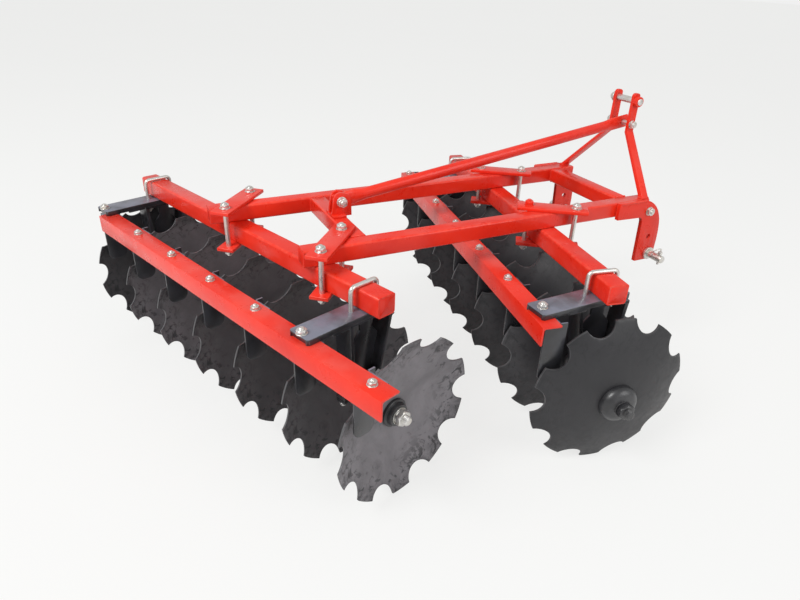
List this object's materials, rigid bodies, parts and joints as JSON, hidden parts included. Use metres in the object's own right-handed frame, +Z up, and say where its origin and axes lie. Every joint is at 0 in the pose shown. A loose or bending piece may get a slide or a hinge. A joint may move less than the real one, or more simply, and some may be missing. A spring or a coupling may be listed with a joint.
{
  "type": "offset disc harrow",
  "caption": "Mounted offset disc harrow: two angled gangs of notched dished discs under a red square-tube frame, with scraper bars, a braced mast and pins for a three-point linkage.",
  "frame": {"origin": "middle of the footprint, on the ground under the discs", "axes": "+X forward to the tractor along the two rails, +Y to the left, +Z up"},
  "size_m": [1.9446, 1.7144, 0.9918],
  "materials": {
    "red_paint": "worn gloss red enamel over welded steel",
    "black_paint": "satin black paint, scuffed at the edges",
    "disc_steel": "thin dark grey paint over heat-treated disc steel, scratched and dusty",
    "cast_black": "black painted iron with a fine cast grain",
    "zinc": "bright zinc plating, slightly yellowed"
  },
  "bodies": {
    "frame": {"brace_bolt_front": "zinc", "brace_bolt_rear": "zinc", "brace_lug": "red_paint", "front_bearing_hanger_left": "black_paint", "front_bearing_hanger_right": "black_paint", "front_bracket_arm_left": "black_paint", "front_bracket_arm_right": "black_paint", "front_clamp_left": "red_paint", "front_clamp_right": "red_paint", "front_cross_tube": "red_paint", "front_gang_beam": "red_paint", "front_scraper_bar": "red_paint", "front_u_bolt_left": "zinc", "front_u_bolt_right": "zinc", "hitch_pin_left": "zinc", "hitch_pin_right": "zinc", "hitch_plate_left": "red_paint", "hitch_plate_right": "red_paint", "left_rail": "red_paint", "mast_brace": "red_paint", "mast_leg_left": "red_paint", "mast_leg_right": "red_paint", "mast_pin": "zinc", "rear_bearing_hanger_left": "black_paint", "rear_bearing_hanger_right": "black_paint", "rear_bracket_arm_left": "black_paint", "rear_bracket_arm_right": "black_paint", "rear_clamp_left": "red_paint", "rear_clamp_right": "red_paint", "rear_cross_tube": "red_paint", "rear_gang_beam": "red_paint", "rear_scraper_bar": "red_paint", "rear_u_bolt_left": "zinc", "rear_u_bolt_right": "zinc", "right_rail": "red_paint"},
    "front_gang": {"front_clamp_washer_left": "cast_black", "front_disc_1": "disc_steel", "front_disc_2": "disc_steel", "front_disc_3": "disc_steel", "front_disc_4": "disc_steel", "front_disc_5": "disc_steel", "front_disc_6": "disc_steel", "front_disc_7": "disc_steel", "front_dome_washer_right": "cast_black", "front_shaft_and_spools": "cast_black"},
    "rear_gang": {"rear_clamp_washer_right": "cast_black", "rear_disc_1": "disc_steel", "rear_disc_2": "disc_steel", "rear_disc_3": "disc_steel", "rear_disc_4": "disc_steel", "rear_disc_5": "disc_steel", "rear_disc_6": "disc_steel", "rear_disc_7": "disc_steel", "rear_dome_washer_left": "cast_black", "rear_shaft_and_spools": "cast_black"}
  },
  "joints": [
    {"name": "front_gang_turn", "type": "hinge", "parent": "frame", "child": "front_gang", "pos_m": [0.50424, -0.02158, 0.25484], "axis": [0.1736, 0.9848, 0], "continuous": true},
    {"name": "rear_gang_turn", "type": "hinge", "parent": "frame", "child": "rear_gang", "pos_m": [-0.48994, 0.05721, 0.25484], "axis": [-0.342, 0.9397, 0], "continuous": true}
  ]
}
